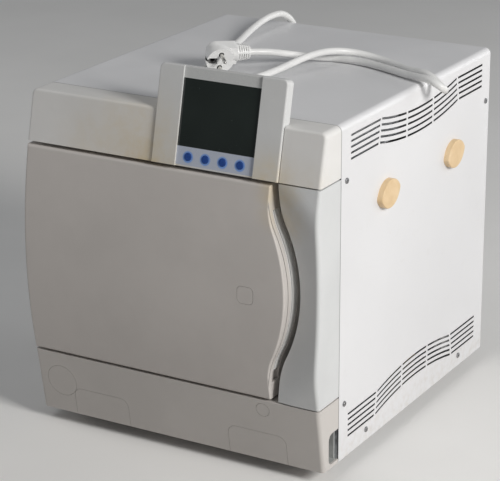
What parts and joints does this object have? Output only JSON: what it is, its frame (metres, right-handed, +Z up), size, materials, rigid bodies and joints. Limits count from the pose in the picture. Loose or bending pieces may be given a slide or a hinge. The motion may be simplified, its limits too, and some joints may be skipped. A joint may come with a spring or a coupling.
{
  "type": "dental autoclave",
  "caption": "Table-top steam steriliser with a bowed hinged door, side grip latch, tilted display, louvred metal cover and a mains cord laid over the top.",
  "frame": {"origin": "middle of the machine's footprint, without the cord, on the table", "axes": "+X to the right seen from the front, +Y to the back, +Z up"},
  "size_m": [0.4683, 0.5999, 0.513],
  "materials": {
    "cover_paint": "off-white powder coat, fine texture",
    "front_plastic": "moulded, warm light grey, fine spark texture",
    "cheek_plastic": "moulded, light grey",
    "panel_foil": "bluish grey foil",
    "screen_black": "near-black window",
    "key_blue": "blue",
    "cap_beige": "aged beige",
    "cord_white": "white flexible PVC",
    "pin_metal": "nickel plated",
    "sheet_steel": "galvanised sheet",
    "vessel_steel": "polished stainless",
    "zinc_screw": "zinc plated",
    "silicone": "milky silicone",
    "black_rubber": "dark rubber",
    "black_plastic": "black",
    "mineral_wool": "felted wool",
    "brass_parts": "turned brass",
    "copper_pipe": "drawn copper",
    "board_green": "solder resist green",
    "motor_grey": "grey enamel",
    "fin_aluminium": "mill finish"
  },
  "bodies": {
    "housing": {"metal_cover": "cover_paint", "cover_screws": "zinc_screw", "front_frame": "sheet_steel", "rear_panel": "sheet_steel", "base_pan": "sheet_steel", "component_shelf": "sheet_steel", "hood": "front_plastic", "front_column": "front_plastic", "plinth": "front_plastic", "plinth_caps": "front_plastic", "service_flaps": "front_plastic", "sterile_filter": "cord_white", "side_caps": "cap_beige", "hinge_pin": "zinc_screw", "hinge_brackets": "sheet_steel", "strikers": "sheet_steel", "chamber": "vessel_steel", "chamber_insulation": "mineral_wool", "chamber_saddles": "sheet_steel", "steam_generator": "vessel_steel", "pump_motor": "motor_grey", "vacuum_pump": "brass_parts", "valve_block": "brass_parts", "safety_valve": "brass_parts", "steam_pipes": "copper_pipe", "fan_shroud": "black_plastic", "condenser": "fin_aluminium", "control_board": "board_green", "power_supply": "fin_aluminium", "rear_connectors": "brass_parts", "switch_bracket": "sheet_steel", "mains_switch": "black_plastic", "display_housing": "cheek_plastic", "display_bezel": "panel_foil", "display_screen": "screen_black", "display_board": "board_green", "rear_feet": "black_rubber", "cord_gland": "cord_white", "mains_cord": "cord_white", "plug_body": "cord_white", "plug_pins": "pin_metal"},
    "door": {"door_shell": "front_plastic", "door_cap": "front_plastic", "door_liner": "front_plastic", "door_carrier": "sheet_steel", "hinge_bushes": "cord_white", "pressure_lid": "vessel_steel", "lid_gasket": "silicone"},
    "latch": {"grip": "front_plastic", "lock_bar": "sheet_steel"},
    "rocker": {"mains_rocker": "black_plastic"},
    "fan": {"fan_rotor": "black_plastic"},
    "foot_left": {"foot_stud_left": "zinc_screw", "foot_pad_left": "black_rubber"},
    "foot_right": {"foot_stud_right": "zinc_screw", "foot_pad_right": "black_rubber"},
    "key_body_1": {"key_1": "key_blue"},
    "key_body_2": {"key_2": "key_blue"},
    "key_body_3": {"key_3": "key_blue"},
    "key_body_4": {"key_4": "key_blue"}
  },
  "joints": [
    {"name": "door_hinge", "type": "hinge", "parent": "housing", "child": "door", "pos_m": [-0.198, -0.2165, 0.251], "axis": [0, 0, -1], "range_deg": [0, 110]},
    {"name": "latch_slide", "type": "slide", "parent": "door", "child": "latch", "axis": [0, 0, 1], "range_m": [-0.014, 0]},
    {"name": "key_press_1", "type": "slide", "parent": "housing", "child": "key_body_1", "axis": [0, 0.9744, -0.225], "range_m": [0, 0.0005], "stiffness_N_per_m": 2000},
    {"name": "key_press_2", "type": "slide", "parent": "housing", "child": "key_body_2", "axis": [0, 0.9744, -0.225], "range_m": [0, 0.0005], "stiffness_N_per_m": 2000},
    {"name": "key_press_3", "type": "slide", "parent": "housing", "child": "key_body_3", "axis": [0, 0.9744, -0.225], "range_m": [0, 0.0005], "stiffness_N_per_m": 2000},
    {"name": "key_press_4", "type": "slide", "parent": "housing", "child": "key_body_4", "axis": [0, 0.9744, -0.225], "range_m": [0, 0.0005], "stiffness_N_per_m": 2000},
    {"name": "rocker_tip", "type": "hinge", "parent": "housing", "child": "rocker", "pos_m": [0.1895, -0.207, 0.046], "axis": [0, 1, 0], "range_deg": [0, 16]},
    {"name": "fan_spin", "type": "hinge", "parent": "housing", "child": "fan", "pos_m": [-0.14, 0.2275, 0.34], "axis": [0, 1, 0], "continuous": true},
    {"name": "foot_slide_left", "type": "slide", "parent": "housing", "child": "foot_left", "axis": [0, 0, -1], "range_m": [0, 0.01]},
    {"name": "foot_slide_right", "type": "slide", "parent": "housing", "child": "foot_right", "axis": [0, 0, -1], "range_m": [0, 0.01]}
  ]
}
